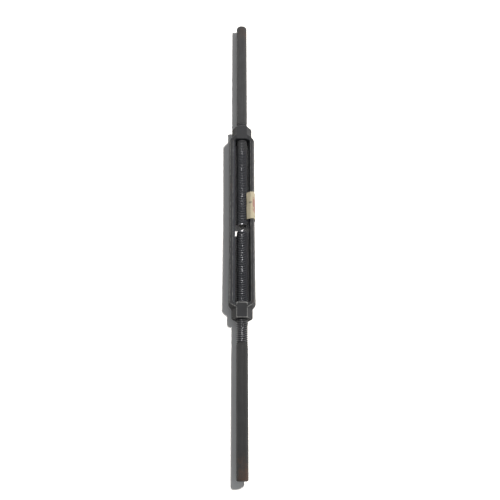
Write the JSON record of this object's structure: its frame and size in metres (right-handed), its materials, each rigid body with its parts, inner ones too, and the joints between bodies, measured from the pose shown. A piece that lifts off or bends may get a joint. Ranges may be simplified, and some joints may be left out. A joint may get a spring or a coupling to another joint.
{
  "type": "rigging turnbuckle",
  "caption": "Open-body forged turnbuckle with six-sided hubs and plain round stub ends, threaded right-hand at one end and left-hand at the other.",
  "frame": {"origin": "middle of the body's opening, on the thread axis", "axes": "+Y along the thread axis towards the right-hand stub, +Z out of the front of the opening, +X across both rails towards the label"},
  "size_m": [0.023, 0.4174, 0.0154],
  "materials": {
    "forged_body": "as-forged, dark scale with oil, worn bright along the edges",
    "stub_steel": "hot-rolled bar, dark scale, bare metal on the thread crests",
    "label_paper": "worn cream paper, blank"
  },
  "bodies": {
    "body": {"turnbuckle_body": "forged_body", "paper_label": "label_paper"},
    "right_stub": {"right_hand_stub": "stub_steel"},
    "left_stub": {"left_hand_stub": "stub_steel"}
  },
  "joints": [
    {"name": "right_stub_travel", "type": "slide", "parent": "body", "child": "right_stub", "axis": [0, 1, 0], "range_m": [-0.0026, 0.064]},
    {"name": "left_stub_travel", "type": "slide", "parent": "body", "child": "left_stub", "axis": [0, -1, 0], "range_m": [-0.0026, 0.064]}
  ],
  "couplings": [
    {"joint": "left_stub_travel", "follows": "right_stub_travel", "ratio": 1}
  ]
}
